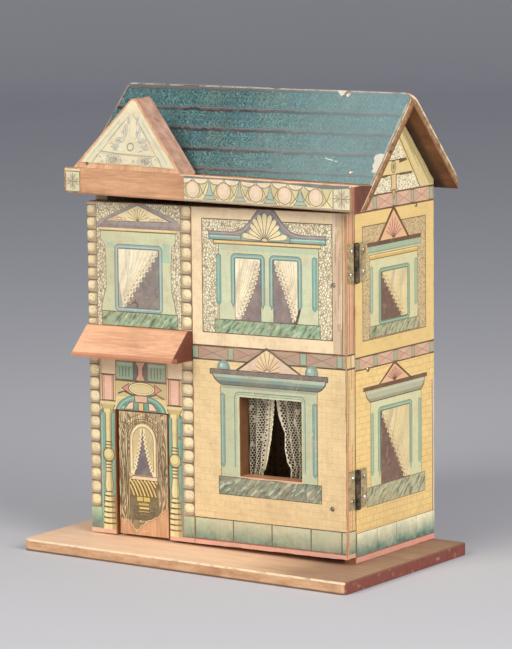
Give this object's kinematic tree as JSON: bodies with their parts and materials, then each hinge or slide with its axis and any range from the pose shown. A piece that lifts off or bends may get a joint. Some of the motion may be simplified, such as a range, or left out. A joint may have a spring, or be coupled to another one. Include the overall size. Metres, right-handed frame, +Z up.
{
  "type": "dollhouse",
  "caption": "Small paper-covered wooden dollhouse with a hinged front, gabled roof, porch roof, hinged entrance door, lace curtains and a plank base.",
  "frame": {"origin": "middle of the footprint, on the underside of the base board", "axes": "+Z up, -Y out of the printed front, +X to the right-hand side where the front is hinged"},
  "size_m": [0.25, 0.1479, 0.2999],
  "materials": {
    "light_softwood": "worn, clear varnish over bare softwood, tan with darker edges",
    "brown_softwood": "stained brown softwood, worn pale at the corners",
    "litho_paper": "printed paper glued on the board, varnished, scuffed and torn at the edges",
    "roof_litho_paper": "printed paper, blue-green scalloped slates, dull varnish",
    "wallpaper": "thin printed paper, matt",
    "cotton_lace": "cream cotton lace",
    "cotton_tape": "card strip with tape",
    "aged_brass": "dull, brown patina",
    "old_steel": "dark iron nails with brown rust"
  },
  "bodies": {
    "carcass": {"base_board": "light_softwood", "side_wall_left": "brown_softwood", "side_wall_right": "brown_softwood", "back_wall": "brown_softwood", "upper_floor": "brown_softwood", "roof_board_front": "brown_softwood", "roof_board_rear": "brown_softwood", "eave_fascia": "light_softwood", "gable_pediment": "light_softwood", "side_paper_right": "litho_paper", "side_paper_left": "litho_paper", "roof_paper_front": "roof_litho_paper", "roof_paper_rear": "roof_litho_paper", "fascia_paper_left": "litho_paper", "fascia_paper_right": "litho_paper", "pediment_paper": "litho_paper", "wallpaper_lower": "wallpaper", "wallpaper_upper": "wallpaper", "pediment_nail": "old_steel", "wall_nail_high": "old_steel", "wall_nail_low": "old_steel", "roof_nail_ridge": "old_steel", "roof_nail_eave": "old_steel", "latch_hook_nail": "aged_brass", "hinge_lower_pin": "old_steel", "hinge_lower_wall_leaf": "aged_brass", "hinge_lower_wall_nail_a": "old_steel", "hinge_lower_wall_nail_b": "old_steel", "hinge_upper_pin": "old_steel", "hinge_upper_wall_leaf": "aged_brass", "hinge_upper_wall_nail_a": "old_steel", "hinge_upper_wall_nail_b": "old_steel"},
    "front": {"front_panel": "brown_softwood", "porch_roof": "light_softwood", "door_pintle_lower": "old_steel", "front_paper_gable_bay": "litho_paper", "front_paper_entrance": "litho_paper", "front_paper_twin_window": "litho_paper", "front_paper_parlour": "litho_paper", "panel_edge_paper": "litho_paper", "curtain_strip": "cotton_tape", "curtain_left": "cotton_lace", "curtain_right": "cotton_lace", "panel_nail_middle": "old_steel", "panel_nail_low": "old_steel", "panel_nail_jamb": "old_steel", "latch_catch_nail": "aged_brass", "hinge_lower_panel_leaf": "aged_brass", "hinge_lower_panel_nail_a": "old_steel", "hinge_lower_panel_nail_b": "old_steel", "hinge_upper_panel_leaf": "aged_brass", "hinge_upper_panel_nail_a": "old_steel", "hinge_upper_panel_nail_b": "old_steel"},
    "door": {"front_door": "light_softwood", "door_pivot_upper": "old_steel", "door_paper": "litho_paper", "door_knob": "aged_brass"},
    "hook": {"latch_hook": "aged_brass"}
  },
  "joints": [
    {"name": "front_hinge", "type": "hinge", "parent": "carcass", "child": "front", "pos_m": [0.10225, -0.02415, 0.1], "axis": [0, 0, 1], "range_deg": [0, 175]},
    {"name": "door_hinge", "type": "hinge", "parent": "front", "child": "door", "pos_m": [-0.04, -0.0312, 0.05], "axis": [0, 0, 1], "range_deg": [0, 105]},
    {"name": "hook_pivot", "type": "hinge", "parent": "carcass", "child": "hook", "pos_m": [-0.1013, -0.013, 0.118], "axis": [1, 0, 0], "range_deg": [0, 270]}
  ]
}
